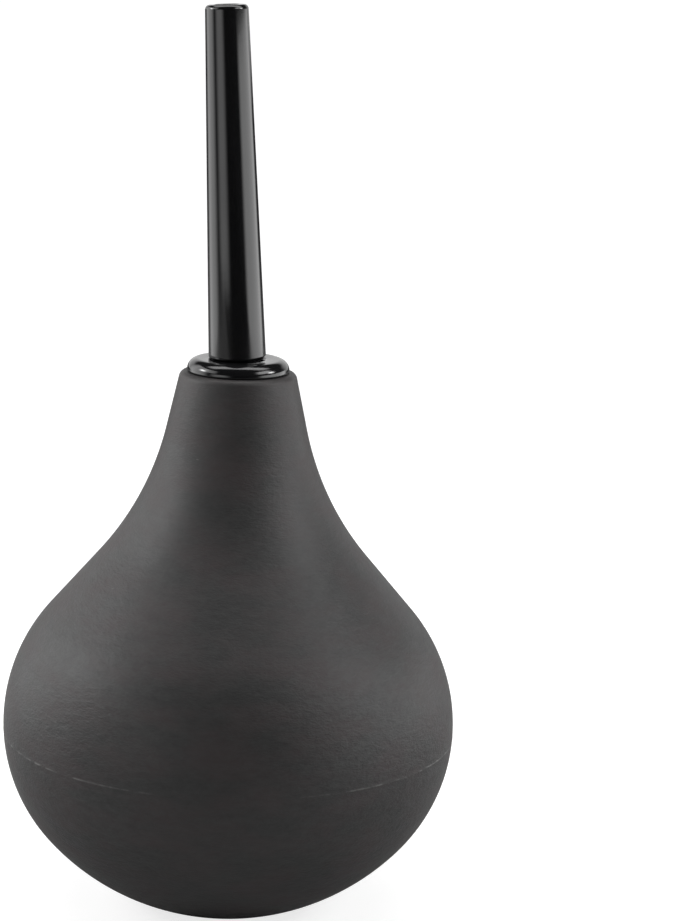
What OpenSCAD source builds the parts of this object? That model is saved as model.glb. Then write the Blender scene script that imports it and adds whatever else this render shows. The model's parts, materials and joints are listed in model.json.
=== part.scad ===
// Squeeze-bulb dust blower: a soft teardrop bulb with a rigid tapered nozzle in its neck
// and a one-way air inlet in its base.
// Origin: centre of the flat base. +Z runs up the bulb's axis, through the neck.
// The nozzle leans a few degrees towards -X, in the play of its socket.

/* [Bulb] */
// Diameter of the bulb at its widest ring
bulb_d = 83.4; // [76:0.2:104]
// Height of the neck's rim above the base
bulb_h = 99.8; // [84:0.2:120]
// Height of the widest ring above the base
equator_z = 33.8; // [31.6:0.2:38]
// Diameter of the flat that the bulb stands on
base_flat_d = 27; // [22:0.5:32]
// Radius of the bowl's side, below the widest ring
bowl_side_r = 31; // [26:0.2:33]
// Radius of the shoulder, above the widest ring
shoulder_r = 32; // [26:0.2:38]
// Length of the straight flank between the shoulder and the hollow under the neck
flank_len = 13.8; // [4:0.2:20]
// Thickness of the rubber wall
wall = 2.5; // [1.6:0.1:3.2]
// Thickness of the rubber under the chamber
base_t = 4; // [3:0.1:5]
// Height of the mould's parting ridge above the base
ridge_z = 32.5; // [28:0.1:33]
// How far the parting ridge stands proud
ridge_proud = 0.12; // [0.05:0.01:0.3]

/* [Neck] */
// Diameter of the neck at its rim, before the edge is rounded
rim_d = 21; // [20:0.1:25]
// Height of the neck's conical stretch
neck_cone_h = 10.4; // [8:0.1:13]
// Half angle of the neck's cone
neck_cone_deg = 12.5; // [9:0.5:15]
// Rounding of the rim's outer edge
rim_edge_r = 1.2; // [0.6:0.1:1.6]

/* [Neck plug] */
// Diameter of the glossy collar
collar_d = 18.6; // [17.5:0.1:22]
// Thickness of the collar, whose side rounds over into its top
collar_t = 2.4; // [1.8:0.1:3]
// Thickness of the stem's wall round the nozzle's socket
stem_wall = 2; // [1.4:0.1:2.4]
// Length of the stem below the collar
stem_len = 20; // [17:0.5:24]
// Number of barbs on the stem
barb_count = 4; // [2:1:5]
// Height of a barb over the stem
barb_proud = 0.45; // [0.2:0.05:0.6]
// Gap between the barbs and the neck's bore
neck_gap = 0.08; // [0.05:0.01:0.2]

/* [Nozzle] */
// Length of the nozzle above its shoulder
nozzle_len = 63.1; // [40:0.2:90]
// Diameter at the foot of the nozzle
foot_d = 10.4; // [9.8:0.1:12]
// Diameter at the tip of the nozzle
tip_d = 7.7; // [6.4:0.1:9]
// Rounding of the tip's outer edge
tip_edge_r = 0.8; // [0.4:0.1:1]
// Diameter of the bore through the nozzle
bore_d = 4.2; // [3:0.1:4.4]
// Lean of the nozzle towards -X, in degrees
nozzle_lean = 3.2; // [0:0.1:3.4]
// Width of the shoulder between the foot and the spigot
shoulder_w = 0.9; // [0.6:0.05:1.2]
// Length of the spigot
spigot_len = 9; // [7:0.5:10]
// Gap all round between the spigot and its socket
socket_gap = 0.35; // [0.32:0.01:0.5]
// Thickness of the O-ring's cord
o_ring_t = 1.4; // [1.2:0.1:1.6]

/* [Air inlet] */
// Diameter of the inlet's flange under the base
flange_d = 15.6; // [14:0.2:19]
// Thickness of the flange
flange_t = 1.2; // [0.8:0.1:1.4]
// How far the flange lies inside the base
flange_recess = 0.4; // [0.2:0.1:0.8]
// Diameter of the barrel that passes through the rubber
barrel_d = 10; // [9.6:0.1:12]
// Diameter of the air hole
air_hole_d = 3.6; // [2:0.1:4.4]
// Diameter of the valve disc
disc_d = 7.4; // [7:0.1:9]
// Thickness of the valve disc
disc_t = 0.8; // [0.5:0.1:1.2]
// Lift of the disc off its seat
disc_lift = 1.2; // [0.6:0.1:1.8]

/* [Hidden] */
$fn = 96;
arc_steps = 24;   // stretches in each drawn arc
eps = 0.01;       // overrun of a cut past a face

rubber_black = [0.13, 0.13, 0.135];
gloss_black = [0.03, 0.03, 0.032];
seal_black = [0.06, 0.06, 0.06];
inlet_grey = [0.1, 0.1, 0.105];
disc_grey = [0.55, 0.55, 0.53];

bulb_r = bulb_d / 2;
rim_r = rim_d / 2;
base_r = base_flat_d / 2;

// Bowl: a bottom arc centred on the axis meets the side arc where both have the same slope
// and passes through the edge of the flat; bowl_split is the angle of that slope.
side_x = bulb_r - bowl_side_r;
bowl_k = (pow(base_r, 2) + pow(equator_z, 2) - pow(bowl_side_r, 2) - pow(side_x, 2)) / (2 * side_x);
bowl_q = (pow(equator_z, 2) - pow(bowl_side_r, 2)) * (pow(bowl_side_r, 2) - pow(bowl_k, 2));
bowl_root = sqrt(pow(bowl_k * equator_z, 2) + bowl_q);
bowl_tan = (pow(bowl_side_r, 2) - pow(bowl_k, 2)) / (bowl_root + bowl_k * equator_z);
bowl_split = atan(bowl_tan);
bottom_z = equator_z + side_x * bowl_tan;
bottom_r = bowl_side_r + side_x / cos(bowl_split);

// Shoulder arc, straight flank and neck hollow: the hollow's radius is the one that leaves
// a flank of the stated length between two arcs that it touches.
side_c = [side_x, equator_z];
shoulder_c = [bulb_r - shoulder_r, equator_z];
cone_foot = [rim_r + neck_cone_h * tan(neck_cone_deg), bulb_h - neck_cone_h];
cone_normal = [cos(neck_cone_deg), sin(neck_cone_deg)];
rise = cone_foot - shoulder_c;
hollow_r = (rise * rise - pow(shoulder_r, 2) - pow(flank_len, 2)) / (2 * (shoulder_r - rise * cone_normal));
hollow_c = cone_foot + hollow_r * cone_normal;
span = hollow_c - shoulder_c;
flank_deg = atan2(span[1], span[0]) - acos((shoulder_r + hollow_r) / norm(span));

// Rim edge: a small arc that touches the cone and the flat rim
rim_c = [rim_r - rim_edge_r / cos(neck_cone_deg) + rim_edge_r * tan(neck_cone_deg), bulb_h - rim_edge_r];

socket_spare = 1.2;     // depth left under the spigot
socket_mouth = 0.4;     // chamfer at the socket's mouth
stem_lead = 1;          // chamfer at the stem's end
roof_gap = 0.5;         // neck left bare below the stem
roof_slope = 0.7;       // rise of the chamber's roof over its run

// Neck plug and its socket: the spigot sizes the socket, and the socket sizes the stem
spigot_r = foot_d / 2 - shoulder_w;
socket_r = spigot_r + socket_gap;
stem_r = socket_r + stem_wall;
barb_r = stem_r + barb_proud;
neck_bore_r = barb_r + neck_gap;
collar_top_z = bulb_h + collar_t;
collar_foot_r = collar_t * 0.15;
collar_round_r = collar_t - collar_foot_r;
socket_floor_z = collar_top_z - spigot_len - socket_spare;
plug_end_z = bulb_h - stem_len;
chamber_top_z = plug_end_z - roof_gap;
barb_pitch = (stem_len - 4) / barb_count;

// Nozzle, drawn on its own axis with its shoulder at 0 and then leaned about the O-ring's centre
foot_edge = 0.35;       // chamfer round the foot
shoulder_lift = (foot_d / 2 - foot_edge) * sin(nozzle_lean) + 0.03;
shoulder_z = collar_top_z + shoulder_lift;
seal_drop = spigot_len / 2;
pivot_z = shoulder_z - seal_drop;
o_ring_gap = 0.05;
o_ring_r = socket_r - o_ring_gap - o_ring_t / 2;
groove_r = o_ring_r - o_ring_t / 2 - o_ring_gap;
groove_w = o_ring_t + 2 * o_ring_gap;
bore_edge = 0.3;        // chamfer at the bore's mouth

// Air inlet
flange_top_z = flange_recess + flange_t;
inlet_gap = 0.1;
lip_d = barrel_d + 2;
lip_t = 1;
lip_top_z = base_t + lip_t;
disc_gap = 0.3;         // gap all round the disc
boss_wall = 0.6;
boss_h = 1;
boss_bore_r = disc_d / 2 + disc_gap;
boss_r = boss_bore_r + boss_wall;
rim_h = 0.5;            // height of the sealing rim under the disc
rim_w = 0.7;
disc_z = lip_top_z + rim_h;
cage_gap = 0.05;
cage_wall = 1;
cage_roof_t = 0.8;
cage_in_r = boss_r + cage_gap;
cage_in_top_z = disc_z + disc_t + disc_lift + inlet_gap;
cage_top_z = cage_in_top_z + cage_roof_t;
window_count = 6;
window_w = 1.8;
window_z = lip_top_z + boss_h + 0.2;

function arc(c, r, from, to, n = arc_steps) =
    [for (i = [0 : n]) let (a = from + (to - from) * i / n) c + r * [cos(a), sin(a)]];

// Bulb's outline from the axis below the base up to the neck's cone, moved inwards by inset
function teardrop(inset) = concat(
    arc([0, bottom_z], bottom_r - inset, -90, -bowl_split),
    arc(side_c, bowl_side_r - inset, -bowl_split, 0),
    arc(shoulder_c, shoulder_r - inset, 0, flank_deg),
    arc(hollow_c, hollow_r + inset, 180 + flank_deg, 180 + neck_cone_deg));

module bulb_outer() {
    intersection() {
        polygon(concat(teardrop(0), arc(rim_c, rim_edge_r, neck_cone_deg, 90, 6), [[0, bulb_h]]));
        square([bulb_d, bulb_h]);
    }
    translate([ridge_x(), ridge_z]) circle(r = ridge_proud * 2, $fn = 24);
}

// Radius of the bulb at the parting ridge, less half the ridge's section
function ridge_x() = side_x + sqrt(pow(bowl_side_r, 2) - pow(equator_z - ridge_z, 2)) - ridge_proud;

module bulb_chamber() {
    intersection() {
        polygon(concat(teardrop(wall), [[0, cone_foot[1]]]));
        polygon([[0, base_t], [bulb_r, base_t], [bulb_r, chamber_top_z - (bulb_r - neck_bore_r) * roof_slope],
                 [neck_bore_r, chamber_top_z], [0, chamber_top_z]]);
    }
}

module bulb() {
    color(rubber_black) rotate_extrude() difference() {
        bulb_outer();
        bulb_chamber();
        translate([0, chamber_top_z - 1]) square([neck_bore_r, bulb_h]);
        translate([0, -eps]) square([barrel_d / 2 + inlet_gap, base_t + 2 * eps]);
        translate([0, -eps]) square([flange_d / 2 + inlet_gap, flange_top_z + eps]);
    }
}

// Stem's outline with its barbs, from the collar down to the end
module stem_section() {
    polygon([[0, plug_end_z], [stem_r - stem_lead, plug_end_z], [stem_r, plug_end_z + stem_lead],
             [stem_r, bulb_h + eps], [0, bulb_h + eps]]);
    for (i = [0 : barb_count - 1]) {
        z = plug_end_z + stem_lead + 0.5 + i * barb_pitch;
        polygon([[0, z], [stem_r, z], [barb_r, z + barb_pitch * 0.6],
                 [barb_r, z + barb_pitch * 0.75], [0, z + barb_pitch * 0.75]]);
    }
}

// Half of the collar's section: a large round above and a small one where it meets the rim
module collar_section() {
    translate([0, bulb_h]) square([collar_d / 2 - collar_round_r, collar_t]);
    intersection() {
        translate([collar_d / 2 - collar_round_r, bulb_h + collar_foot_r]) circle(r = collar_round_r);
        translate([0, bulb_h + collar_foot_r]) square([collar_d, collar_t]);
    }
    intersection() {
        translate([collar_d / 2 - collar_foot_r, bulb_h + collar_foot_r]) circle(r = collar_foot_r);
        translate([0, bulb_h]) square([collar_d, collar_foot_r + eps]);
    }
    translate([0, bulb_h]) square([collar_d / 2 - collar_foot_r, collar_foot_r + eps]);
}

module neck_plug() {
    color(gloss_black) rotate_extrude() difference() {
        union() {
            stem_section();
            collar_section();
        }
        translate([0, socket_floor_z]) square([socket_r, collar_top_z]);
        translate([0, plug_end_z - eps]) square([bore_d / 2, collar_top_z]);
        polygon([[0, collar_top_z - socket_mouth], [socket_r, collar_top_z - socket_mouth],
                 [socket_r + socket_mouth + eps, collar_top_z + eps], [0, collar_top_z + eps]]);
    }
}

module leaning() {
    translate([0, 0, pivot_z]) rotate([0, -nozzle_lean, 0]) translate([0, 0, seal_drop]) children();
}

taper = atan((foot_d - tip_d) / 2 / nozzle_len);
tip_c = [tip_d / 2 + tip_edge_r * tan(taper) - tip_edge_r / cos(taper), nozzle_len - tip_edge_r];

// Outline from the spigot's end up to the tip, whose edge is an arc that touches both sides
module nozzle_section() {
    polygon(concat(
        [[0, -spigot_len], [spigot_r - bore_edge, -spigot_len],
         [spigot_r, bore_edge - spigot_len], [spigot_r, 0],
         [foot_d / 2 - foot_edge, 0], [foot_d / 2, foot_edge]],
        arc(tip_c, tip_edge_r, taper, 90, 8),
        [[0, nozzle_len]]));
}

module nozzle_tube() {
    color(gloss_black) leaning() rotate_extrude() difference() {
        nozzle_section();
        translate([0, -spigot_len - eps]) square([bore_d / 2, nozzle_len + spigot_len + 2 * eps]);
        polygon([[0, nozzle_len - bore_edge], [bore_d / 2, nozzle_len - bore_edge],
                 [bore_d / 2 + bore_edge + eps, nozzle_len + eps], [0, nozzle_len + eps]]);
        translate([groove_r, -seal_drop - groove_w / 2]) square([spigot_r, groove_w]);
    }
}

module nozzle_o_ring() {
    color(seal_black) leaning() translate([0, 0, -seal_drop])
        rotate_extrude() translate([o_ring_r, 0]) circle(d = o_ring_t, $fn = 48);
}

module valve_seat() {
    color(inlet_grey) rotate_extrude() difference() {
        union() {
            translate([0, flange_recess]) square([flange_d / 2, flange_t]);
            translate([0, flange_recess]) square([barrel_d / 2, lip_top_z - flange_recess]);
            polygon([[0, base_t], [lip_d / 2, base_t], [lip_d / 2, base_t + lip_t / 2],
                     [lip_d / 2 - lip_t / 2, lip_top_z], [0, lip_top_z]]);
            translate([0, lip_top_z - eps]) square([boss_r, boss_h + eps]);
        }
        translate([0, lip_top_z]) square([boss_bore_r, boss_h + eps]);
        translate([0, -eps]) square([air_hole_d / 2, lip_top_z + 2 * eps]);
    }
    color(inlet_grey) rotate_extrude()
        translate([air_hole_d / 2, lip_top_z - eps]) square([rim_w, rim_h + eps]);
}

module valve_disc() {
    color(disc_grey) translate([0, 0, disc_z]) cylinder(d = disc_d, h = disc_t);
}

module valve_cage() {
    color(inlet_grey) difference() {
        translate([0, 0, lip_top_z]) cylinder(r = cage_in_r + cage_wall, h = cage_top_z - lip_top_z);
        translate([0, 0, lip_top_z - eps]) cylinder(r = cage_in_r, h = cage_in_top_z - lip_top_z + eps);
        for (i = [0 : window_count - 1]) rotate([0, 0, i * 360 / window_count])
            translate([0, -window_w / 2, window_z]) cube([bulb_r, window_w, cage_in_top_z - window_z]);
    }
}

bulb();
neck_plug();
nozzle_tube();
nozzle_o_ring();
valve_seat();
valve_disc();
valve_cage();
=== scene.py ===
"""Squeeze-bulb dust blower: its visible pieces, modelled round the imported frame."""

import json
import math

import bmesh
import bpy
from bpy.props import FloatProperty, FloatVectorProperty, IntProperty, PointerProperty
from mathutils import Matrix, Vector, noise
from mathutils.geometry import intersect_line_sphere_2d


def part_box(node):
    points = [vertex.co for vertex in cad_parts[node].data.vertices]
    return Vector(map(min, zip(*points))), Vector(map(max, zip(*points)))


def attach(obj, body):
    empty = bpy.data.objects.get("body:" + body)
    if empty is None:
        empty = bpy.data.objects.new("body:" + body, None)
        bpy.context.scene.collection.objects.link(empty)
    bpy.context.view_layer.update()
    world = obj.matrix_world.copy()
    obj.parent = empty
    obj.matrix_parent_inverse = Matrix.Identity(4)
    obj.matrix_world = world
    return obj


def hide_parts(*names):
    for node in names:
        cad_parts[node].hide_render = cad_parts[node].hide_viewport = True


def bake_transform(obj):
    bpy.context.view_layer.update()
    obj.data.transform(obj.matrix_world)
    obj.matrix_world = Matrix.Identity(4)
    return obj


bl_info = {
    "name": "Dust Blower Bulb",
    "version": (1, 0, 0),
    "blender": (4, 5, 0),
    "location": "3D View > Sidebar > Dust Blower",
    "description": "Models a squeeze-bulb dust blower piece by piece round its frame",
    "category": "Add Mesh",
}

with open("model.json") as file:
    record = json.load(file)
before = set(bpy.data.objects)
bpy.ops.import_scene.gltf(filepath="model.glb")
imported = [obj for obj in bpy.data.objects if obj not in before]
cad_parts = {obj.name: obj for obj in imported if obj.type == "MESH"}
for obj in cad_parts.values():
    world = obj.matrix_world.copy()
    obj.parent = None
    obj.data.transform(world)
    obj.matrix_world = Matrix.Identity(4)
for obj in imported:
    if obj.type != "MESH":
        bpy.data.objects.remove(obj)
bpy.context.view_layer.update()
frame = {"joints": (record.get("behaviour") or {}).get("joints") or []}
joints = {joint["name"]: joint for joint in frame["joints"]}

# The longest steps along arcs, in metres: fine where an arc is small
OUTER_STEP, INNER_STEP, RIM_STEP = 0.001, 0.002, 0.0003
COLLAR_STEP, COLLAR_FOOT_STEP = 0.0001, 0.00005
FOOT_STEP, TIP_STEP, CORD_STEP = 0.00006, 0.00008, 0.0001
MERGE_DISTANCE = 1e-6
SMOOTH_ANGLE = math.radians(50)


# ---------------------------------------------------------------- sizes and colours


def length(name, description, default):
    """A size or a place, in metres."""
    kind = {"precision": 5, "subtype": "DISTANCE", "unit": "LENGTH"}
    return FloatProperty(name=name, description=description, default=default, **kind)


def turn(name, description, degrees):
    """An angle, given in degrees and kept in radians."""
    kind = {"subtype": "ANGLE", "unit": "ROTATION"}
    return FloatProperty(name=name, description=description, default=math.radians(degrees), **kind)


def strength(name, description, default):
    """The brightness of a light, where 1 is paper white."""
    return FloatProperty(name=name, description=description, default=default, min=0)


def tone(name, description, default):
    """A linear colour."""
    return FloatVectorProperty(
        name=name, description=description, default=default, size=3, min=0, max=1, subtype="COLOR"
    )


class BulbSizes(bpy.types.PropertyGroup):
    """The rubber bulb"""

    radius: length("Radius", "Radius at the widest ring", 0.0417)
    equator: length("Equator", "Height of the widest ring", 0.0338)
    flat_radius: length("Flat", "Radius of the flat that the bulb stands on", 0.0135)
    side_radius: length("Side arc", "Radius of the bowl's side", 0.031)
    shoulder_radius: length("Shoulder arc", "Radius of the shoulder", 0.032)
    flank: length("Flank", "Straight stretch between the shoulder and the hollow", 0.0138)
    wall: length("Wall", "Thickness of the rubber", 0.0025)
    floor: length("Floor", "Thickness of the rubber under the chamber", 0.004)
    rim_radius: length("Rim", "Radius of the neck at its rim, before its edge is rounded", 0.0105)
    cone_height: length("Cone", "Height of the neck's conical stretch", 0.0104)
    cone_angle: turn("Cone angle", "Half angle of the neck's cone", 12.5)
    rim_edge: length("Rim edge", "Rounding of the rim's outer edge", 0.0012)
    recess_depth: length("Recess", "Depth of the recess for the inlet's flange", 0.0016)
    gap: length("Gap", "Gap round the inlet and round the plug's barbs", 0.0001)
    ridge: length("Parting line", "Height of the mould's parting line", 0.0325)
    ridge_width: length("Ridge width", "Half width of the parting ridge", 0.00022)
    ridge_proud: length("Ridge", "How far the parting ridge stands proud", 0.00004)
    bevel: length("Small edges", "Rounding of the edges inside and underneath", 0.0003)
    flat_margin: length("Flat margin", "Width of the outermost ring of the flat", 0.0008)
    bore_margin: length("Bore margin", "How far the neck's bore runs on past the stem", 0.0005)
    segments: IntProperty(name="Segments", description="Stretches round the bulb", default=240)


class PlugSizes(bpy.types.PropertyGroup):
    """The collar and its barbed stem"""

    stem_radius: length("Stem", "Radius of the stem", 0.00665)
    barb_height: length("Barb", "Height of a barb over the stem", 0.00045)
    barb_count: IntProperty(name="Barbs", description="Number of barbs", default=4)
    first_barb: length("First barb", "From the chamfer to the first barb", 0.0005)
    plain_stem: length("Plain stem", "Length of the stem without barbs, both its ends together", 0.004)
    lead: length("Lead", "Chamfer at the stem's end", 0.001)
    socket_radius: length("Socket", "Radius of the nozzle's socket", 0.00465)
    socket_depth: length("Socket depth", "Depth of the socket below the collar's top", 0.0102)
    collar_foot: length("Collar foot", "Small rounding where the collar meets the rim", 0.00036)
    mouth: length("Mouth", "Chamfer at the socket's mouth", 0.0004)
    bevel: length("Small edges", "Rounding of the sharp edges", 0.00008)
    segments: IntProperty(name="Segments", description="Stretches round the plug", default=128)


class NozzleSizes(bpy.types.PropertyGroup):
    """The tapered tube, its spigot and its seal"""

    length: length("Length", "Length above the shoulder", 0.0631)
    foot_radius: length("Foot", "Radius at the foot", 0.0052)
    tip_radius: length("Tip", "Radius at the tip", 0.00385)
    tip_edge: length("Tip edge", "Rounding of the tip's outer edge", 0.0008)
    foot_edge: length("Foot edge", "Rounding of the foot's outer edge", 0.00035)
    bore_radius: length("Bore", "Radius of the bore", 0.0021)
    bore_edge: length("Bore edge", "Rounding of the bore's mouth", 0.0003)
    spigot_radius: length("Spigot", "Radius of the spigot", 0.0043)
    spigot_length: length("Spigot length", "Length of the spigot", 0.009)
    ring_radius: length("O-ring", "Radius to the middle of the O-ring's cord", 0.0039)
    cord_radius: length("Cord", "Radius of the O-ring's cord", 0.0007)
    ring_gap: length("Ring gap", "Gap round the O-ring in its groove", 0.00005)
    bevel: length("Small edges", "Rounding of the sharp edges", 0.00006)
    segments: IntProperty(name="Segments", description="Stretches round the nozzle", default=128)


class InletSizes(bpy.types.PropertyGroup):
    """The one-way air inlet in the base"""

    flange_thickness: length("Flange", "Thickness of the flange", 0.0012)
    barrel_radius: length("Barrel", "Radius of the barrel in the rubber", 0.005)
    lip_radius: length("Lip", "Radius of the lip inside the chamber", 0.006)
    lip_thickness: length("Lip thickness", "Thickness of the lip", 0.001)
    boss_radius: length("Boss", "Radius of the boss that carries the cage", 0.0046)
    boss_bore: length("Boss bore", "Radius of the bore round the disc", 0.004)
    boss_height: length("Boss height", "Height of the boss over the lip", 0.001)
    hole_radius: length("Air hole", "Radius of the air hole", 0.0018)
    seal_width: length("Sealing rim", "Width of the sealing rim", 0.0007)
    seal_height: length("Rim height", "Height of the sealing rim", 0.0005)
    cage_gap: length("Cage gap", "Gap between the boss and the cage", 0.00005)
    cage_roof: length("Cage roof", "Thickness of the cage's roof", 0.0008)
    window_width: length("Window width", "Width of a window in the cage", 0.0018)
    sill: length("Sill", "Height of a window's sill over the boss", 0.0002)
    seat_bevel: length("Seat edges", "Rounding of the seat's edges", 0.0001)
    disc_bevel: length("Disc edges", "Rounding of the disc's edges", 0.00015)
    cage_bevel: length("Cage edges", "Rounding of the cage's edges", 0.00006)
    windows: IntProperty(name="Windows", description="Number of air windows in the cage", default=6)
    segments: IntProperty(name="Segments", description="Stretches round the inlet", default=96)


class FinishColours(bpy.types.PropertyGroup):
    """Colours of the finishes"""

    rubber: tone("Rubber", "Matte charcoal of the bulb", (0.0222, 0.0222, 0.0222))
    rubber_bloom: tone("Bloom", "Warmer, paler mottling on the bulb", (0.034, 0.0268, 0.0274))
    # Paler grain of the rubber, which the bulb's material strengthens on the flanks as painted sheen
    # from the side lights
    rubber_grain_and_sheen: tone("Grain", "Paler grain of the bulb", (0.043, 0.0425, 0.0425))
    # The parting line's pale colour is partly real flash and partly painted highlight on the flanks; the
    # dust specks use it too
    parting: tone("Parting line", "Pale flash along the parting line", (0.15, 0.15, 0.145))
    gloss: tone("Gloss black", "Polished black of the nozzle and the collar", (0.006, 0.006, 0.0065))
    seal: tone("Seal", "Black of the O-ring", (0.012, 0.012, 0.012))
    inlet: tone("Inlet", "Dark grey of the air inlet", (0.02, 0.02, 0.021))
    disc: tone("Disc", "Grey silicone of the valve disc", (0.3, 0.3, 0.28))
    floor: tone("Floor", "Pale floor", (0.46, 0.46, 0.46))


class StageSizes(bpy.types.PropertyGroup):
    """The camera and the lights"""

    distance: length("Distance", "Distance from the camera to the bulb's axis", 0.5007)
    height: length("Height", "Height of the camera", 0.1885)
    pitch: turn("Pitch", "How far the camera looks down", 11.8)
    yaw: turn("Yaw", "How far the camera looks to the right", 2.3)
    roll: turn("Roll", "How far the camera is rolled", 2.01)
    lens: FloatProperty(name="Lens", description="Focal length in millimetres", default=109.45)
    floor_size: length("Floor", "Side of the floor", 14.0)
    side_reach: length("Side lights", "Distance from the axis to most side lights", 0.55)
    left_reach: length("Left softbox", "Distance from the axis to the left softbox", 0.385)
    lamp_reach: length("Lamps", "Distance from the axis to the lamps", 0.5)
    floor_glow: strength("Floor glow", "Light added to the floor as the camera sees it", 0.75)
    backdrop: strength("Backdrop", "Brightness of the pale backdrop", 1.0)
    ambient: strength("Ambient", "Brightness of the even light all round", 0.02)
    right_light: strength("Right light", "Brightness of the right softbox", 3.2)
    left_light: strength("Left light", "Brightness of the left softbox", 2.5)
    fill_light: strength("Fill light", "Brightness of the left fill", 1.9)
    right_upper_light: strength("Right upper light", "Brightness of the right upper softbox", 5.29)
    left_upper_light: strength("Left upper light", "Brightness of the left upper softbox", 2.3)
    top_light: strength("Top light", "Brightness of the softbox overhead", 4.0)
    lamp_light: strength("Lamps", "Brightness of the lamps above the side softboxes", 17.0)


# ---------------------------------------------------------------- modelling


class Outline:
    """Half a section, drawn vertex by vertex in edit mode and then spun about its axis.

    Its points are a radius and a height from the axis's foot. An axis that leans does so
    towards -X."""

    def __init__(self, name, radius, height, foot=(0, 0, 0), lean=0.0):
        self.foot = Vector(foot)
        self.turn = Matrix.Rotation(-lean, 3, "Y")
        self.first = self.pen = Vector((radius, height))
        bpy.ops.object.select_all(action="DESELECT")
        bpy.ops.mesh.primitive_plane_add(size=0.001)
        self.piece = bpy.context.object
        self.piece.name = self.piece.data.name = name
        bpy.ops.object.mode_set(mode="EDIT")
        bpy.ops.mesh.select_mode(type="VERT")
        bpy.ops.mesh.select_all(action="SELECT")
        bpy.ops.mesh.merge(type="CENTER")
        bpy.ops.transform.translate(value=self.place(self.pen))

    def place(self, point):
        return self.foot + self.turn @ Vector((point[0], 0, point[1]))

    def line(self, radius, height):
        """Extrudes the last vertex to a point."""
        point = Vector((radius, height))
        step = self.place(point) - self.place(self.pen)
        bpy.ops.mesh.extrude_vertices_move(TRANSFORM_OT_translate={"value": step})
        self.pen = point

    def arc(self, centre, to_angle, fineness, widest=math.radians(9)):
        """Spins the last vertex about a centre, to an angle from the outward direction."""
        centre = Vector(centre)
        arm = self.pen - centre
        sweep = to_angle - math.atan2(arm.y, arm.x)
        sweep = (sweep + math.pi) % math.tau - math.pi
        steps = math.ceil(max(abs(sweep) * arm.length / fineness, abs(sweep) / widest))
        bpy.ops.mesh.spin(steps=steps, angle=sweep, center=self.place(centre), axis=(0, 1, 0))
        self.pen = centre + arm.length * Vector((math.cos(to_angle), math.sin(to_angle)))

    def spin(self, segments, closed=True):
        """Closes the section, or leaves both its ends on the axis, and spins it a full turn."""
        if closed:
            self.line(*self.first)
        bpy.ops.mesh.select_all(action="SELECT")
        bpy.ops.mesh.remove_doubles(threshold=MERGE_DISTANCE)
        bpy.ops.mesh.select_all(action="SELECT")
        axis = self.turn @ Vector((0, 0, 1))
        bpy.ops.mesh.spin(steps=segments, angle=math.tau, center=self.foot, axis=axis)
        bpy.ops.mesh.select_all(action="SELECT")
        bpy.ops.mesh.remove_doubles(threshold=MERGE_DISTANCE)
        bpy.ops.mesh.normals_make_consistent(inside=False)
        bpy.ops.object.mode_set(mode="OBJECT")
        return self.piece


def pick(piece):
    """Makes a piece the only one selected, and the active one."""
    bpy.ops.object.select_all(action="DESELECT")
    piece.select_set(True)
    bpy.context.view_layer.objects.active = piece


def round_edges(piece, width, segments=3, sharpest=35):
    """Bevels every edge that turns more than an angle."""
    pick(piece)
    bpy.ops.object.modifier_add(type="BEVEL")
    bevel = piece.modifiers[-1]
    bevel.width = width
    bevel.segments = segments
    bevel.limit_method = "ANGLE"
    bevel.angle_limit = math.radians(sharpest)
    bpy.ops.object.modifier_apply(modifier=bevel.name)


def place_piece(piece, node, material, body=None):
    """Shades a finished piece smooth, gives it its material and, if it has one, its body, and hides the
    CAD node that it stands in for.
    """
    pick(piece)
    bpy.ops.object.shade_smooth_by_angle(angle=SMOOTH_ANGLE)
    piece.data.materials.clear()
    piece.data.materials.append(material)
    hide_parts(node)
    if body:
        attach(piece, body)


# ---------------------------------------------------------------- materials


class Nodes:
    """A short way to write a node tree."""

    def __init__(self, tree):
        self.tree = tree

    def add(self, kind, inputs=None, **settings):
        node = self.tree.nodes.new(kind)
        for name, value in settings.items():
            setattr(node, name, value)
        for socket, value in (inputs or {}).items():
            if isinstance(value, bpy.types.NodeSocket):
                self.tree.links.new(value, node.inputs[socket])
            else:
                node.inputs[socket].default_value = value
        return node

    def math(self, operation, first, second=0.0, clamp=False):
        node = self.add("ShaderNodeMath", {0: first, 1: second}, operation=operation, use_clamp=clamp)
        return node.outputs[0]

    def noise(self, vector, scale, detail=2.0, roughness=0.5):
        inputs = {"Vector": vector, "Scale": scale, "Detail": detail, "Roughness": roughness}
        return self.add("ShaderNodeTexNoise", inputs).outputs["Fac"]

    def ramp(self, factor, low, high, out_low=0.0, out_high=1.0):
        """Maps a span of values to another, and clamps what lies outside."""
        inputs = {"Value": factor, "From Min": low, "From Max": high}
        inputs |= {"To Min": out_low, "To Max": out_high}
        return self.add("ShaderNodeMapRange", inputs).outputs["Result"]

    def smooth_ramp(self, factor, low, high):
        """Rises smoothly from 0 to 1 between two values, in either order."""
        inputs = {"Value": factor, "From Min": low, "From Max": high}
        node = self.add("ShaderNodeMapRange", inputs, interpolation_type="SMOOTHSTEP")
        return node.outputs["Result"]

    def blend(self, factor, first, second):
        """Mixes two colours."""
        node = self.add("ShaderNodeMix", {"Factor": factor}, data_type="RGBA")
        for socket, value in ((node.inputs[6], first), (node.inputs[7], second)):
            if isinstance(value, bpy.types.NodeSocket):
                self.tree.links.new(value, socket)
            else:
                socket.default_value = value
        return node.outputs[2]


def opaque(colour):
    """A colour with its alpha."""
    return (*colour, 1.0)


def new_material(name):
    """A material with only its output, and the writer of its nodes."""
    material = bpy.data.materials.new(name)
    material.use_nodes = True
    material.node_tree.nodes.clear()
    return material, Nodes(material.node_tree)


def shade(nodes, inputs):
    """Ends a material with one Principled shader."""
    shader = nodes.add("ShaderNodeBsdfPrincipled", inputs)
    nodes.add("ShaderNodeOutputMaterial", {"Surface": shader.outputs["BSDF"]})


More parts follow.
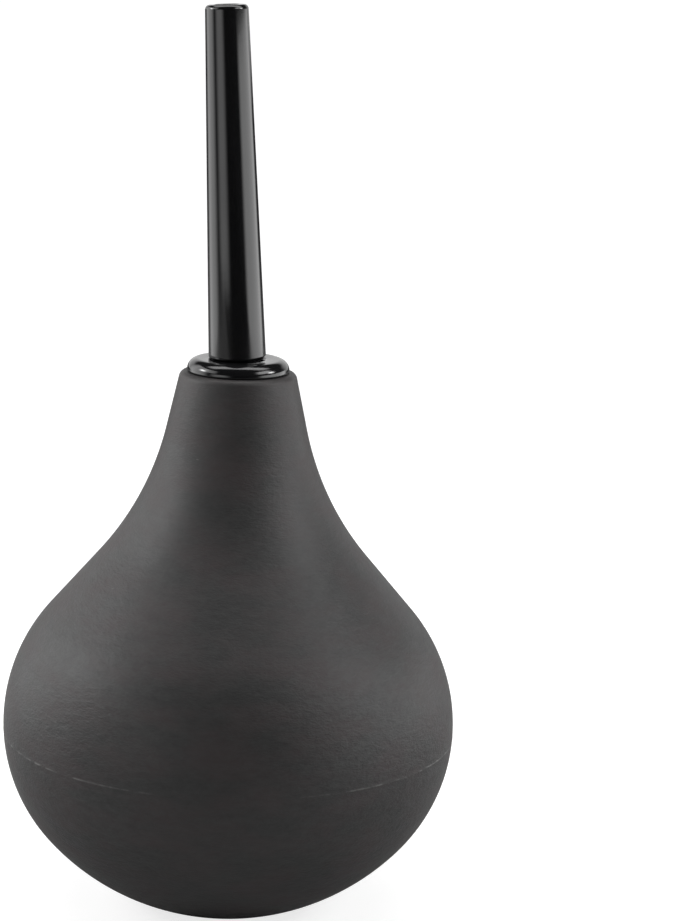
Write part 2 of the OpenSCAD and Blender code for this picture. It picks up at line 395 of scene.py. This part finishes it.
def moulded_surface():
    """The group that gives moulded rubber and plastic its grain, cloudiness and specks."""
    group = bpy.data.node_groups.get("moulded surface")
    if group:
        return group
    group = bpy.data.node_groups.new("moulded surface", "ShaderNodeTree")
    face = group.interface
    for name, kind, default in (
        ("Vector", "NodeSocketVector", (0, 0, 0)),
        ("Grain Scale", "NodeSocketFloat", 3000.0),
        ("Cloud Scale", "NodeSocketFloat", 60.0),
        ("Speck Scale", "NodeSocketFloat", 500.0),
        ("Speck Share", "NodeSocketFloat", 0.02),
    ):
        face.new_socket(name, in_out="INPUT", socket_type=kind).default_value = default
    for name in ("Grain", "Cloud", "Specks"):
        face.new_socket(name, in_out="OUTPUT", socket_type="NodeSocketFloat")
    nodes = Nodes(group)
    given = nodes.add("NodeGroupInput").outputs
    grain = nodes.noise(given["Vector"], given["Grain Scale"], detail=3.0, roughness=0.6)
    cloud = nodes.noise(given["Vector"], given["Cloud Scale"], detail=4.0, roughness=0.55)
    cells = nodes.add("ShaderNodeTexVoronoi", {"Vector": given["Vector"], "Scale": given["Speck Scale"]})
    chosen = nodes.math("LESS_THAN", cells.outputs["Color"], given["Speck Share"])
    near = nodes.ramp(cells.outputs["Distance"], 0.06, 0.16, 1.0, 0.0)
    specks = nodes.math("MULTIPLY", chosen, near)
    nodes.add("NodeGroupOutput", {"Grain": grain, "Cloud": cloud, "Specks": specks})
    return group


def surface_effects(nodes, vector, grain, cloud, speck=500.0, share=0.0):
    """Places the moulded surface's group in a material, with the material's own scales."""
    inputs = {
        "Vector": vector,
        "Grain Scale": grain,
        "Cloud Scale": cloud,
        "Speck Scale": speck,
        "Speck Share": share,
    }
    node = nodes.tree.nodes.new("ShaderNodeGroup")
    node.node_tree = moulded_surface()
    for socket, value in inputs.items():
        if isinstance(value, bpy.types.NodeSocket):
            nodes.tree.links.new(value, node.inputs[socket])
        else:
            node.inputs[socket].default_value = value
    return node.outputs


def bulb_rubber(colours):
    """Matte charcoal rubber: streaky grain, mottling, dust specks and the pale parting line.

    The pale grain is at its strongest on both flanks of the bulb, and weaker in the middle: real grain,
    with painted sheen where the side lights graze the flanks."""
    material, nodes = new_material("bulb rubber")
    rest = nodes.add("ShaderNodeAttribute", attribute_name="rest_place").outputs["Vector"]
    parting = nodes.add("ShaderNodeAttribute", attribute_name="parting").outputs["Fac"]
    streaks = nodes.add("ShaderNodeVectorMath", {0: rest, 1: (1.0, 1.0, 2.4)}, operation="MULTIPLY")
    streaks = streaks.outputs["Vector"]
    effects = surface_effects(nodes, streaks, grain=1300.0, cloud=90.0, speck=420.0, share=0.09)
    cloud = nodes.ramp(effects["Cloud"], 0.4, 0.64)
    mottled = nodes.blend(cloud, opaque(colours.rubber), opaque(colours.rubber_bloom))
    off_centre = nodes.add("ShaderNodeSeparateXYZ", {"Vector": rest}).outputs["X"]
    # Paler grain painted stronger on the flanks: real grain, plus painted sheen where the side lights
    # graze
    sides = nodes.ramp(nodes.math("ABSOLUTE", off_centre), 0.008, 0.026, 0.5, 1.0)
    relief = nodes.math("ADD", effects["Grain"], nodes.noise(streaks, scale=420.0))
    relief = nodes.math("MULTIPLY", nodes.math("SUBTRACT", relief, 1.0), sides)
    grain = nodes.ramp(relief, -0.25, 0.25, 0.0, 0.62)
    grained = nodes.blend(grain, mottled, opaque(colours.rubber_grain_and_sheen))
    specks = nodes.math("MULTIPLY", effects["Specks"], 0.25)
    specked = nodes.blend(specks, grained, opaque(colours.parting))
    patches = nodes.noise(rest, scale=420.0, detail=3.0, roughness=0.6)
    patches = nodes.ramp(patches, 0.42, 0.6, 0.08, 0.95)
    # The parting line's pale mark: real flash, with painted highlight on the flanks
    line = nodes.math("MULTIPLY", parting, patches)
    lined = nodes.blend(line, specked, opaque(colours.parting))
    height = {"Height": relief, "Strength": 0.65, "Distance": 0.00013}
    bump = nodes.add("ShaderNodeBump", height)
    rough = nodes.ramp(effects["Cloud"], 0.3, 0.7, 0.46, 0.54)
    inputs = {
        "Base Color": lined,
        "Roughness": rough,
        "Specular IOR Level": 0.3,
        "Normal": bump.outputs["Normal"],
    }
    shade(nodes, inputs)
    return material


def gloss_black(colours):
    """Polished black plastic: a hint of orange peel and of handling haze."""
    material, nodes = new_material("gloss black")
    place = nodes.add("ShaderNodeTexCoord").outputs["Object"]
    effects = surface_effects(nodes, place, grain=900.0, cloud=120.0, speck=900.0, share=0.01)
    haze = nodes.ramp(effects["Cloud"], 0.4, 0.75, 0.1, 0.16)
    colour = nodes.blend(effects["Specks"], opaque(colours.gloss), opaque(colours.parting))
    height = {"Height": effects["Cloud"], "Strength": 0.08, "Distance": 0.0002}
    bump = nodes.add("ShaderNodeBump", height)
    shade(nodes, {"Base Color": colour, "Roughness": haze, "Normal": bump.outputs["Normal"]})
    return material


def plain_finish(name, colour, roughness, grain, strength):
    """A finish with fine grain and slight variation in colour and roughness."""
    material, nodes = new_material(name)
    place = nodes.add("ShaderNodeTexCoord").outputs["Object"]
    effects = surface_effects(nodes, place, grain=grain, cloud=250.0)
    pale = tuple(min(1.0, 1.5 * part) for part in colour)
    cloud = nodes.ramp(effects["Cloud"], 0.3, 0.7)
    varied = nodes.blend(cloud, opaque(colour), opaque(pale))
    rough = nodes.ramp(effects["Cloud"], 0.3, 0.7, roughness - 0.06, roughness + 0.06)
    height = {"Height": effects["Grain"], "Strength": strength, "Distance": 0.0001}
    bump = nodes.add("ShaderNodeBump", height)
    shade(nodes, {"Base Color": varied, "Roughness": rough, "Normal": bump.outputs["Normal"]})
    return material


def pale_floor(colours, glow):
    """A pale matte floor with a trace of unevenness, lit up a little where the camera sees it."""
    material, nodes = new_material("pale floor")
    place = nodes.add("ShaderNodeTexCoord").outputs["Object"]
    cloud = nodes.ramp(nodes.noise(place, 3.0), 0.3, 0.7)
    dimmer = tuple(0.98 * part for part in colours.floor)
    colour = nodes.blend(cloud, opaque(colours.floor), opaque(dimmer))
    seen = nodes.add("ShaderNodeLightPath").outputs["Is Camera Ray"]
    far = nodes.add("ShaderNodeVectorMath", {0: place}, operation="LENGTH").outputs["Value"]
    lift = nodes.ramp(far, 0.1, 0.7, glow, 1.0)
    inputs = {
        "Base Color": colour,
        "Roughness": 0.9,
        "Specular IOR Level": 0.2,
        "Emission Color": (1, 1, 1, 1),
        "Emission Strength": nodes.math("MULTIPLY", seen, lift),
    }
    shade(nodes, inputs)
    return material


# ---------------------------------------------------------------- pieces


class PieceOperator:
    """What the piece operators share."""

    bl_options = {"REGISTER", "UNDO"}

    def execute(self, context):
        self.model(context.scene)
        return {"FINISHED"}


class BLOWER_OT_bulb(PieceOperator, bpy.types.Operator):
    """Model the soft rubber bulb as a hollow shell with its parting line"""

    bl_idname = "blower.bulb"
    bl_label = "Bulb"

    # How far the ledge under the neck's bore is drawn, outwards and down: past the inner hollow
    LEDGE = (0.02, -0.014)
    # The parting line's unevenness: noise scales per metre, and shares of the ridge's sizes
    WANDER_SCALE, WANDER = 90, 0.5
    PATCH_SCALE, PATCH_PLACE, PATCHES = 260, (7, 3, 1), 0.8
    # The line's mark, real flash with painted highlight where the side lights catch the ridge, rises
    # from nothing to full between these shares of the radius, sideways
    BARE, MARKED = 0.25, 0.75

    def model(self, scene):
        sizes = scene.blower_bulb
        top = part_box("bulb")[1].z
        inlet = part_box("valve_seat")[1].x + sizes.gap
        hole = scene.blower_inlet.barrel_radius + sizes.gap
        plug = scene.blower_plug
        bore = plug.stem_radius + plug.barb_height + sizes.gap
        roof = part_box("neck_plug")[0].z - sizes.bore_margin

        side = Vector((sizes.radius - sizes.side_radius, sizes.equator))
        split, bottom, bottom_radius = self.bowl(sizes, side)
        shoulder = Vector((sizes.radius - sizes.shoulder_radius, sizes.equator))
        cone = sizes.cone_angle
        cone_foot_radius = sizes.rim_radius + sizes.cone_height * math.tan(cone)
        cone_foot = Vector((cone_foot_radius, top - sizes.cone_height))
        flank, hollow, hollow_radius = self.hollow(sizes, shoulder, cone_foot)
        edge = sizes.rim_edge
        rim_radius = sizes.rim_radius - edge / math.cos(cone) + edge * math.tan(cone)
        rim = Vector((rim_radius, top - edge))
        ridge = math.asin((sizes.ridge - sizes.equator) / sizes.side_radius)
        half = sizes.ridge_width / sizes.side_radius

        outline = Outline("rubber_bulb", inlet, 0)
        outline.line(sizes.flat_radius - sizes.flat_margin, 0)
        outline.line(sizes.flat_radius, 0)
        outline.arc(bottom, -split, OUTER_STEP)
        outline.arc(side, ridge - half, OUTER_STEP)
        outline.arc(side, ridge, OUTER_STEP)
        outline.arc(side, ridge + half, OUTER_STEP)
        outline.arc(side, 0, OUTER_STEP)
        outline.arc(shoulder, flank, OUTER_STEP)
        flank_end = hollow - hollow_radius * Vector((math.cos(flank), math.sin(flank)))
        self.stretch(outline, flank_end, steps=8)
        outline.arc(hollow, math.pi + cone, OUTER_STEP)
        cone_end = rim + edge * Vector((math.cos(cone), math.sin(cone)))
        self.stretch(outline, cone_end, steps=6)
        outline.arc(rim, math.pi / 2, RIM_STEP)
        outline.line(bore, top)
        outline.line(bore, roof)

        bore_foot = Vector((bore, roof))
        ledge_end = bore_foot + Vector(self.LEDGE)
        meets = intersect_line_sphere_2d(bore_foot, ledge_end, hollow, hollow_radius + sizes.wall)
        outline.line(*next(point for point in meets if point))
        outline.arc(hollow, math.pi + flank, INNER_STEP)
        inner_shoulder = sizes.shoulder_radius - sizes.wall
        inner_flank = shoulder + inner_shoulder * Vector((math.cos(flank), math.sin(flank)))
        outline.line(*inner_flank)
        outline.arc(shoulder, 0, INNER_STEP)
        outline.arc(side, -split, INNER_STEP)
        inner_bottom = bottom_radius - sizes.wall
        outline.arc(bottom, math.asin((sizes.floor - bottom.y) / inner_bottom), INNER_STEP)
        outline.line(hole, sizes.floor)
        outline.line(hole, sizes.recess_depth)
        outline.line(inlet, sizes.recess_depth)
        piece = outline.spin(sizes.segments)
        round_edges(piece, sizes.bevel)
        self.raise_parting_line(piece, sizes)
        place_piece(piece, "bulb", bulb_rubber(scene.blower_colours))
        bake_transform(piece)

    @staticmethod
    def stretch(outline, end, steps):
        """Draws a straight stretch in several steps, with a vertex at the end of each."""
        start = outline.pen.copy()
        for step in range(1, steps + 1):
            outline.line(*start.lerp(end, step / steps))

    @staticmethod
    def bowl(sizes, side):
        """Finds the bottom arc, centred on the axis, that meets the side arc and the flat's edge."""
        arc, equator = sizes.side_radius, sizes.equator
        spread = (sizes.flat_radius**2 + equator**2 - arc**2 - side.x**2) / (2 * side.x)
        root = math.sqrt((spread * equator) ** 2 + (equator**2 - arc**2) * (arc**2 - spread**2))
        split = math.atan((arc**2 - spread**2) / (root + spread * equator))
        centre = Vector((0, equator + side.x * math.tan(split)))
        return split, centre, arc + side.x / math.cos(split)

    @staticmethod
    def hollow(sizes, shoulder, cone_foot):
        """Finds the hollow under the neck that leaves a flank of the stated length."""
        arc = sizes.shoulder_radius
        normal = Vector((math.cos(sizes.cone_angle), math.sin(sizes.cone_angle)))
        rise = cone_foot - shoulder
        radius = (rise.length_squared - arc**2 - sizes.flank**2) / (2 * (arc - rise.dot(normal)))
        centre = cone_foot + radius * normal
        span = centre - shoulder
        flank = math.atan2(span.y, span.x) - math.acos((arc + radius) / span.length)
        return flank, centre, radius

    def raise_parting_line(self, piece, sizes):
        """Raises the parting line unevenly, and keeps its mark and every place for the material.

        The line is at its strongest at both flanks of the bulb, and leaves its middle bare: its pale
        mark there is partly real flash and partly painted highlight, where the side lights catch the
        ridge."""
        mesh = piece.data
        mesh.attributes.new("rest_place", "FLOAT_VECTOR", "POINT")
        mesh.attributes.new("parting", "FLOAT", "POINT")
        rest, parting = mesh.attributes["rest_place"], mesh.attributes["parting"]
        for vertex in mesh.vertices:
            rest.data[vertex.index].vector = vertex.co
            out = Vector((vertex.co.x, vertex.co.y, 0))
            outside = out.length > sizes.radius - sizes.wall / 2
            if not outside or abs(vertex.co.z - sizes.ridge) > sizes.ridge_width / 2:
                continue
            wander = noise.noise(vertex.co * self.WANDER_SCALE)
            patches = noise.noise(vertex.co * self.PATCH_SCALE + Vector(self.PATCH_PLACE))
            sideways = abs(vertex.co.x) / sizes.radius
            flash_and_highlight = min(1.0, max(0.0, (sideways - self.BARE) / (self.MARKED - self.BARE)))
            vertex.co += out.normalized() * sizes.ridge_proud * flash_and_highlight * (1 + self.PATCHES * patches)
            vertex.co.z += self.WANDER * sizes.ridge_width * wander
            parting.data[vertex.index].value = flash_and_highlight


class BLOWER_OT_plug(PieceOperator, bpy.types.Operator):
    """Model the glossy collar with its barbed stem and the nozzle's socket"""

    bl_idname = "blower.plug"
    bl_label = "Neck plug"

    # Where a barb reaches its full height and where it ends, as shares of the barbs' pitch
    CREST, BACK = 0.6, 0.75

    def model(self, scene):
        sizes = scene.blower_plug
        low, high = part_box("neck_plug")
        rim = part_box("bulb")[1].z
        foot, shoulder = sizes.collar_foot, high.z - rim - sizes.collar_foot
        bore = scene.blower_nozzle.bore_radius
        socket_floor = high.z - sizes.socket_depth
        outline = Outline("neck_collar_plug", bore, low.z)
        outline.line(sizes.stem_radius - sizes.lead, low.z)
        outline.line(sizes.stem_radius, low.z + sizes.lead)
        pitch = (rim - low.z - sizes.plain_stem) / sizes.barb_count
        for barb in range(sizes.barb_count):
            start = low.z + sizes.lead + sizes.first_barb + barb * pitch
            outline.line(sizes.stem_radius, start)
            outline.line(sizes.stem_radius + sizes.barb_height, start + self.CREST * pitch)
            outline.line(sizes.stem_radius + sizes.barb_height, start + self.BACK * pitch)
            outline.line(sizes.stem_radius, start + self.BACK * pitch)
        outline.line(sizes.stem_radius, rim)
        outline.line(high.x - foot, rim)
        outline.arc((high.x - foot, rim + foot), 0, COLLAR_FOOT_STEP)
        outline.arc((high.x - shoulder, rim + foot), math.pi / 2, COLLAR_STEP)
        outline.line(sizes.socket_radius + sizes.mouth, high.z)
        outline.line(sizes.socket_radius, high.z - sizes.mouth)
        outline.line(sizes.socket_radius, socket_floor)
        outline.line(bore, socket_floor)
        piece = outline.spin(sizes.segments)
        round_edges(piece, sizes.bevel)
        place_piece(piece, "neck_plug", gloss_black(scene.blower_colours), "plug")


class BLOWER_OT_nozzle(PieceOperator, bpy.types.Operator):
    """Model the tapered nozzle tube with its spigot, and the O-ring in the spigot's groove"""

    bl_idname = "blower.nozzle"
    bl_label = "Nozzle"

    def model(self, scene):
        sizes = scene.blower_nozzle
        spin = joints["nozzle_spin"]
        axis, seal = Vector(spin["axis"]).normalized(), Vector(spin["pos_m"])
        lean = math.atan2(-axis.x, axis.z)
        drop = sizes.spigot_length / 2
        self.tube(sizes, seal + drop * axis, lean, drop, scene.blower_colours)
        self.seal(sizes, seal, lean, scene.blower_colours)

    def tube(self, sizes, foot, lean, drop, colours):
        taper = math.atan((sizes.foot_radius - sizes.tip_radius) / sizes.length)
        edge = sizes.tip_edge
        tip_centre = sizes.tip_radius + edge * math.tan(taper) - edge / math.cos(taper)
        tip = Vector((tip_centre, sizes.length - edge))
        groove = sizes.cord_radius + sizes.ring_gap
        outline = Outline("nozzle_barrel", sizes.bore_radius, -sizes.spigot_length, foot, lean)
        outline.line(sizes.spigot_radius - sizes.bore_edge, -sizes.spigot_length)
        outline.line(sizes.spigot_radius, sizes.bore_edge - sizes.spigot_length)
        outline.line(sizes.spigot_radius, -drop - groove)
        outline.line(sizes.ring_radius - groove, -drop - groove)
        outline.line(sizes.ring_radius - groove, groove - drop)
        outline.line(sizes.spigot_radius, groove - drop)
        outline.line(sizes.spigot_radius, 0)
        foot_side = sizes.foot_radius - sizes.foot_edge
        outline.line(foot_side, 0)
        outline.arc((foot_side, sizes.foot_edge), 0, FOOT_STEP)
        outline.line(*(tip + edge * Vector((math.cos(taper), math.sin(taper)))))
        outline.arc(tip, math.pi / 2, TIP_STEP)
        mouth = sizes.bore_radius + sizes.bore_edge
        outline.line(mouth, sizes.length)
        outline.arc((mouth, sizes.length - sizes.bore_edge), math.pi, TIP_STEP)
        piece = outline.spin(sizes.segments)
        round_edges(piece, sizes.bevel)
        place_piece(piece, "nozzle_tube", gloss_black(colours), "nozzle")

    def seal(self, sizes, centre, lean, colours):
        middle = (sizes.ring_radius, 0)
        outline = Outline("nozzle_seal_ring", sizes.ring_radius + sizes.cord_radius, 0, centre, lean)
        for half_turns in (0.5, 1, 1.5, 2):
            outline.arc(middle, half_turns * math.pi, CORD_STEP)
        piece = outline.spin(sizes.segments)
        finish = plain_finish("seal rubber", colours.seal, roughness=0.42, grain=2500.0, strength=0.1)
        place_piece(piece, "nozzle_o_ring", finish, "seal")


class BLOWER_OT_inlet(PieceOperator, bpy.types.Operator):
    """Model the air inlet's seat, its silicone disc and its slotted cage"""

    bl_idname = "blower.inlet"
    bl_label = "Air inlet"

    def model(self, scene):
        sizes, colours = scene.blower_inlet, scene.blower_colours
        grey = colours.inlet
        plastic = plain_finish("inlet plastic", grey, roughness=0.38, grain=1800.0, strength=0.15)
        lip_top = scene.blower_bulb.floor + sizes.lip_thickness
        self.seat(sizes, scene.blower_bulb.floor, lip_top, plastic)
        self.disc(sizes, colours)
        self.cage(sizes, lip_top, plastic)

    def seat(self, sizes, floor, lip_top, plastic):
        low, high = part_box("valve_seat")
        seal = sizes.hole_radius + sizes.seal_width
        outline = Outline("inlet_seat", sizes.hole_radius, low.z)
        outline.line(high.x, low.z)
        outline.line(high.x, low.z + sizes.flange_thickness)
        outline.line(sizes.barrel_radius, low.z + sizes.flange_thickness)
        outline.line(sizes.barrel_radius, floor)
        outline.line(sizes.lip_radius, floor)
        outline.line(sizes.lip_radius, (floor + lip_top) / 2)
        outline.line(sizes.lip_radius - sizes.lip_thickness / 2, lip_top)
        outline.line(sizes.boss_radius, lip_top)
        outline.line(sizes.boss_radius, lip_top + sizes.boss_height)
        outline.line(sizes.boss_bore, lip_top + sizes.boss_height)
        outline.line(sizes.boss_bore, lip_top)
        outline.line(seal, lip_top)
        outline.line(seal, lip_top + sizes.seal_height)
        outline.line(sizes.hole_radius, lip_top + sizes.seal_height)
        piece = outline.spin(sizes.segments)
        round_edges(piece, sizes.seat_bevel)
        place_piece(piece, "valve_seat", plastic, "base_valve")

    def disc(self, sizes, colours):
        low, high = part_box("valve_disc")
        outline = Outline("inlet_disc", 0, low.z)
        outline.line(high.x, low.z)
        outline.line(high.x, high.z)
        outline.line(0, high.z)
        piece = outline.spin(sizes.segments, closed=False)
        round_edges(piece, sizes.disc_bevel)
        grey = colours.disc
        finish = plain_finish("disc silicone", grey, roughness=0.45, grain=1500.0, strength=0.08)
        place_piece(piece, "valve_disc", finish, "disc")

    def cage(self, sizes, lip_top, plastic):
        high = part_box("valve_cage")[1]
        outer, inner = high.x, sizes.boss_radius + sizes.cage_gap
        ceiling = high.z - sizes.cage_roof
        sill = lip_top + sizes.boss_height + sizes.sill
        outline = Outline("inlet_cage", 0, ceiling)
        outline.line(inner, ceiling)
        outline.line(inner, sill)
        outline.line(inner, lip_top)
        outline.line(outer, lip_top)
        outline.line(outer, sill)
        outline.line(outer, ceiling)
        outline.line(outer, high.z)
        outline.line(0, high.z)
        piece = outline.spin(sizes.segments, closed=False)
        reach = math.asin(sizes.window_width / (outer + inner))
        for window in range(sizes.windows):
            self.cut_window(piece, window * math.tau / sizes.windows, reach, (sill, ceiling))
        round_edges(piece, sizes.cage_bevel)
        place_piece(piece, "valve_cage", plastic, "base_valve")

    @staticmethod
    def cut_window(piece, middle, reach, heights):
        """Deletes the faces of one window, outside and inside, and bridges the two openings.

        The window reaches an angle to either side of its middle, as seen from the axis."""
        pick(piece)
        bpy.ops.object.mode_set(mode="EDIT")
        bpy.ops.mesh.select_mode(type="FACE")
        bpy.ops.mesh.select_all(action="DESELECT")
        section = bmesh.from_edit_mesh(piece.data)
        facing = Vector((math.cos(middle), math.sin(middle)))
        for face in section.faces:
            centre = face.calc_center_median()
            in_height = heights[0] < centre.z < heights[1]
            face.select_set(in_height and centre.xy.angle(facing) < reach)
        bpy.ops.mesh.delete(type="FACE")
        bpy.ops.mesh.select_mode(type="EDGE")
        for edge in bmesh.from_edit_mesh(piece.data).edges:
            edge.select_set(edge.is_boundary)
        bpy.ops.mesh.bridge_edge_loops()
        bpy.ops.object.mode_set(mode="OBJECT")


class BLOWER_OT_stage(PieceOperator, bpy.types.Operator):
    """Set up the pale floor, the soft lights and the camera"""

    bl_idname = "blower.stage"
    bl_label = "Stage"

    CLOTH_PLACE, CLOTH_SIZE = (0.1, -1.1, 0.002), (1.0, 1.5, 1)

    def model(self, scene):
        sizes = scene.blower_stage
        self.floor(sizes, scene.blower_colours)
        self.cloth()
        box, reach, lamps = self.softbox, sizes.side_reach, sizes.lamp_reach
        box("right softbox", sizes.right_light, 90, place=(reach, 0.1), size=(1.2, 0.2), fade=0.25)
        place = (sizes.left_reach, 0.21)
        box("left softbox", sizes.left_light, -105, place, size=(0.58, 0.42), fade=0.35)
        box("left fill", sizes.fill_light, -42, place=(reach, 0.1), size=(0.6, 0.2), fade=0.4)
        place, light = (reach, 0.5), sizes.right_upper_light
        box("right upper softbox", light, 70, place, size=(0.6, 0.3), fade=0.3)
        place, light = (reach, 0.42), sizes.left_upper_light
        box("left upper softbox", light, -76, place, size=(0.6, 0.3), fade=0.3)
        box("right lamp", sizes.lamp_light, 85, place=(lamps, 0.33), size=(0.24, 0.1), fade=0.5)
        box("left lamp", sizes.lamp_light, -92, place=(lamps, 0.3), size=(0.24, 0.1), fade=0.5)
        place, overhead = (0.07, 0.58), math.pi / 2
        box("top softbox", sizes.top_light, 180, place, size=(0.9, 0.24), fade=0.2, tilt=overhead)
        self.surroundings(scene, sizes)
        self.camera(scene, sizes)

    @staticmethod
    def floor(sizes, colours):
        """Lays the pale floor, which the bulb stands on."""
        bpy.ops.object.select_all(action="DESELECT")
        bpy.ops.mesh.primitive_plane_add(size=sizes.floor_size)
        floor = bpy.context.object
        floor.name = "pale_floor"
        floor.data.materials.append(pale_floor(colours, sizes.floor_glow))

    def cloth(self):
        """Lays a black cloth under and behind the camera, which only reflections see."""
        bpy.ops.object.select_all(action="DESELECT")
        bpy.ops.mesh.primitive_plane_add(size=1, location=self.CLOTH_PLACE)
        cloth = bpy.context.object
        cloth.name = "black_cloth"
        bpy.ops.transform.resize(value=self.CLOTH_SIZE)
        bpy.ops.object.transform_apply(location=True, scale=True)
        black = (0.005, 0.005, 0.005)
        finish = plain_finish("black cloth", black, roughness=0.9, grain=800.0, strength=0.1)
        cloth.data.materials.append(finish)
        cloth.visible_camera = False

    @staticmethod
    def softbox(name, radiance, azimuth, place, size, fade, tilt=0.0):
        """Adds a soft light that faces the bulb's axis, at an angle round from the camera.

        Its angle is in degrees. Its place is a distance from the axis and a height, its size a
        width and a height, and a share of its width fades at either side."""
        around = math.radians(azimuth)
        place = Vector((place[0] * math.sin(around), -place[0] * math.cos(around), place[1]))
        bpy.ops.object.light_add(type="AREA", location=place, rotation=(math.pi / 2 - tilt, 0, around))
        light = bpy.context.object
        light.name = name
        light.visible_camera = False
        light.data.shape = "RECTANGLE"
        light.data.size, light.data.size_y = size
        light.data.energy = radiance * math.pi * size[0] * size[1]
        light.data.use_nodes = True
        light.data.node_tree.nodes.clear()
        nodes = Nodes(light.data.node_tree)
        across = nodes.add("ShaderNodeNewGeometry").outputs["Parametric"]
        across = nodes.add("ShaderNodeSeparateXYZ", {"Vector": across}).outputs["X"]
        rise = nodes.smooth_ramp(across, 0.0, fade)
        fall = nodes.smooth_ramp(across, 1.0, 1.0 - fade)
        emission = nodes.add("ShaderNodeEmission", {"Strength": nodes.math("MULTIPLY", rise, fall)})
        nodes.add("ShaderNodeOutputLight", {"Surface": emission.outputs[0]})

    @staticmethod
    def surroundings(scene, sizes):
        """Gives the world a pale backdrop behind the bulb and a dim even light all round."""
        scene.world = bpy.data.worlds.new("studio")
        scene.world.use_nodes = True
        scene.world.node_tree.nodes.clear()
        nodes = Nodes(scene.world.node_tree)
        seen = nodes.add("ShaderNodeLightPath").outputs["Is Camera Ray"]
        towards = nodes.add("ShaderNodeTexCoord").outputs["Generated"]
        parts = nodes.add("ShaderNodeSeparateXYZ", {"Vector": towards}).outputs
        low = nodes.smooth_ramp(parts["Z"], low=0.5, high=0.35)
        behind = nodes.smooth_ramp(parts["Y"], low=0.5, high=0.8)
        pale = nodes.ramp(nodes.math("MULTIPLY", low, behind), 0.0, 1.0, sizes.ambient, sizes.backdrop)
        strength = nodes.math("MAXIMUM", pale, seen)
        background = nodes.add("ShaderNodeBackground", {"Color": (1, 1, 1, 1), "Strength": strength})
        nodes.add("ShaderNodeOutputWorld", {"Surface": background.outputs[0]})
        scene.view_settings.view_transform = "Standard"

    @staticmethod
    def camera(scene, sizes):
        """Adds the camera in front of the bulb, turned by its yaw, its pitch and its roll."""
        forward = Vector((
            math.sin(sizes.yaw) * math.cos(sizes.pitch),
            math.cos(sizes.yaw) * math.cos(sizes.pitch),
            -math.sin(sizes.pitch),
        ))
        level = Vector((math.cos(sizes.yaw), -math.sin(sizes.yaw), 0))
        up = level.cross(forward)
        across = level * math.cos(sizes.roll) + up * math.sin(sizes.roll)
        turned = Matrix((across, across.cross(forward), -forward)).transposed()
        place = (0, -sizes.distance, sizes.height)
        bpy.ops.object.camera_add(location=place, rotation=turned.to_euler())
        camera = bpy.context.object
        camera.name = "camera"
        camera.data.lens = sizes.lens
        camera.data.clip_start = 0.01
        scene.camera = camera


# ---------------------------------------------------------------- panel and main


class BLOWER_PT_panel(bpy.types.Panel):
    """Buttons for each group of pieces, with their sizes"""

    bl_idname = "BLOWER_PT_panel"
    bl_label = "Dust Blower"
    bl_space_type = "VIEW_3D"
    bl_region_type = "UI"
    bl_category = "Dust Blower"

    def draw(self, context):
        for group, operator in SECTIONS.items():
            box = self.layout.box()
            if operator:
                box.operator(operator.bl_idname)
            settings = getattr(context.scene, group)
            for name in settings.__annotations__:
                box.prop(settings, name)


GROUPS = {
    "blower_bulb": BulbSizes,
    "blower_plug": PlugSizes,
    "blower_nozzle": NozzleSizes,
    "blower_inlet": InletSizes,
    "blower_stage": StageSizes,
    "blower_colours": FinishColours,
}
SECTIONS = {
    "blower_bulb": BLOWER_OT_bulb,
    "blower_plug": BLOWER_OT_plug,
    "blower_nozzle": BLOWER_OT_nozzle,
    "blower_inlet": BLOWER_OT_inlet,
    "blower_stage": BLOWER_OT_stage,
    "blower_colours": None,
}
OPERATORS = [operator for operator in SECTIONS.values() if operator]
CLASSES = [*GROUPS.values(), *OPERATORS, BLOWER_PT_panel]


def register():
    for cls in CLASSES:
        bpy.utils.register_class(cls)
    for name, group in GROUPS.items():
        setattr(bpy.types.Scene, name, PointerProperty(type=group))


def unregister():
    for name in GROUPS:
        delattr(bpy.types.Scene, name)
    for cls in reversed(CLASSES):
        bpy.utils.unregister_class(cls)


def main():
    """Models every piece and the stage."""
    register()
    bpy.ops.blower.bulb()
    bpy.ops.blower.plug()
    bpy.ops.blower.nozzle()
    bpy.ops.blower.inlet()
    bpy.ops.blower.stage()


if __name__ == "__main__":
    main()
